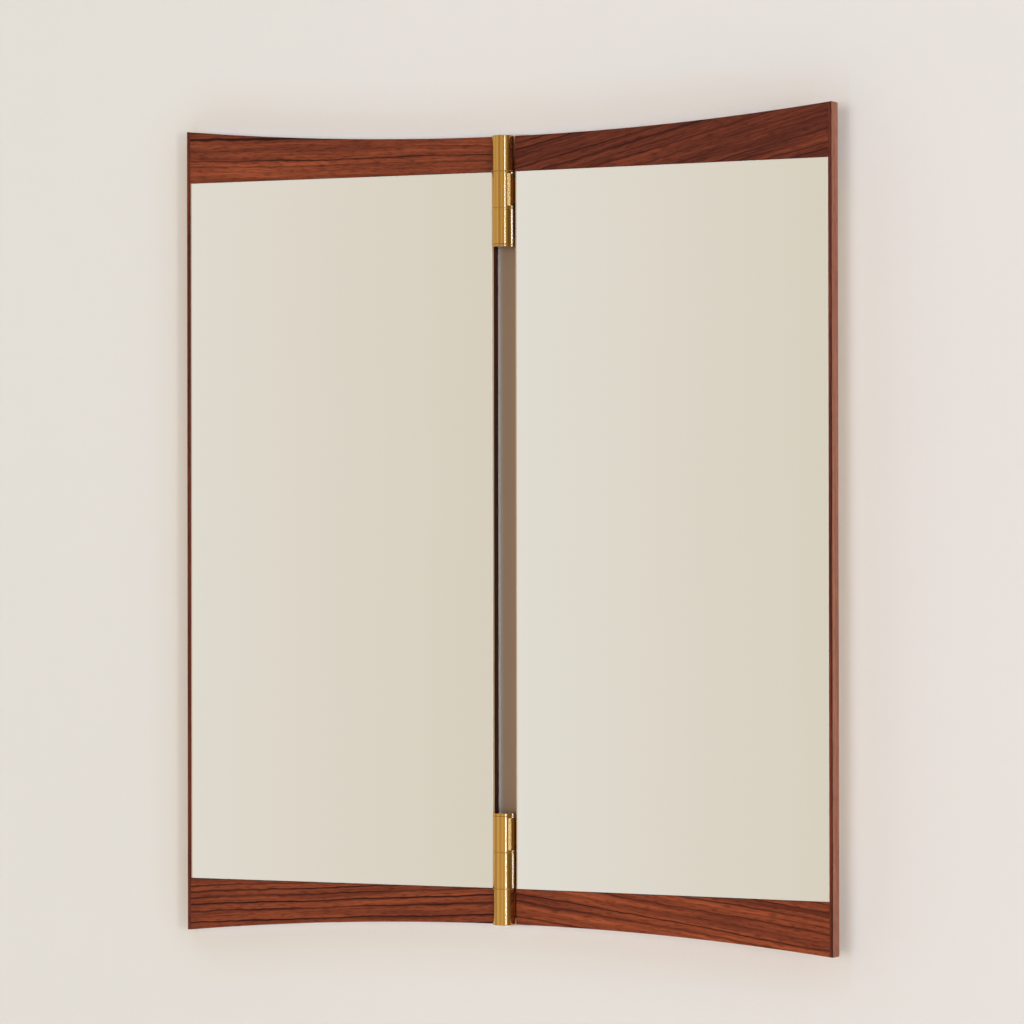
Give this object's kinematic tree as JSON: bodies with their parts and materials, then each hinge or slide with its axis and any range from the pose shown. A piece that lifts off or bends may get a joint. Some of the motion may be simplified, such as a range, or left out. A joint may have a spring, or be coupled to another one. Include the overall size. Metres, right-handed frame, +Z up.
{
  "type": "hinged wall mirror",
  "caption": "Two-leaf wall mirror with curved walnut rails, joined by brass barrel hinges so that one leaf swings; hangs on interlocking wall rails.",
  "frame": {"origin": "centre of the four wall screw holes, on the wall plane, behind the middle of the fixed (left) leaf", "axes": "+X to the viewer's right, +Y into the wall, +Z up; the mirror faces -Y"},
  "size_m": [0.6911, 0.0496, 0.8],
  "materials": {
    "walnut": "satin oiled",
    "plywood": "sanded",
    "beech": "raw",
    "mirror_glass": "polished, silvered at the back",
    "mounting_tape": "foam",
    "brass": "brushed satin",
    "zinc_steel": "zinc plated",
    "aluminium": "extruded, satin anodised",
    "rubber": "moulded matt"
  },
  "bodies": {
    "fixed_leaf": {"fixed_backboard": "plywood", "fixed_top_rail": "walnut", "fixed_bottom_rail": "walnut", "fixed_outer_stile": "walnut", "fixed_inner_stile": "walnut", "fixed_mirror_glass": "mirror_glass", "fixed_mirror_tape": "mounting_tape", "fixed_dowels": "beech", "fixed_wall_bumpers": "rubber", "upper_hinge_fixed_leaf": "brass", "upper_hinge_pin": "brass", "upper_hinge_washers": "brass", "lower_hinge_fixed_leaf": "brass", "lower_hinge_washers": "brass", "fixed_hinge_screws": "brass", "upper_wall_rail": "aluminium", "lower_wall_rail": "aluminium", "upper_hanger": "aluminium", "lower_hanger": "aluminium", "hanger_screws": "zinc_steel"},
    "swing_leaf": {"swing_backboard": "plywood", "swing_top_rail": "walnut", "swing_bottom_rail": "walnut", "swing_outer_stile": "walnut", "swing_inner_stile": "walnut", "swing_mirror_glass": "mirror_glass", "swing_mirror_tape": "mounting_tape", "swing_dowels": "beech", "swing_wall_bumpers": "rubber", "upper_hinge_swing_leaf": "brass", "lower_hinge_swing_leaf": "brass", "lower_hinge_pin": "brass", "swing_hinge_screws": "brass"}
  },
  "joints": [
    {"name": "leaf_swing", "type": "hinge", "parent": "fixed_leaf", "child": "swing_leaf", "pos_m": [0.1789, -0.0243, 0], "axis": [0, 0, -1], "range_deg": [-4.5, 175]}
  ]
}
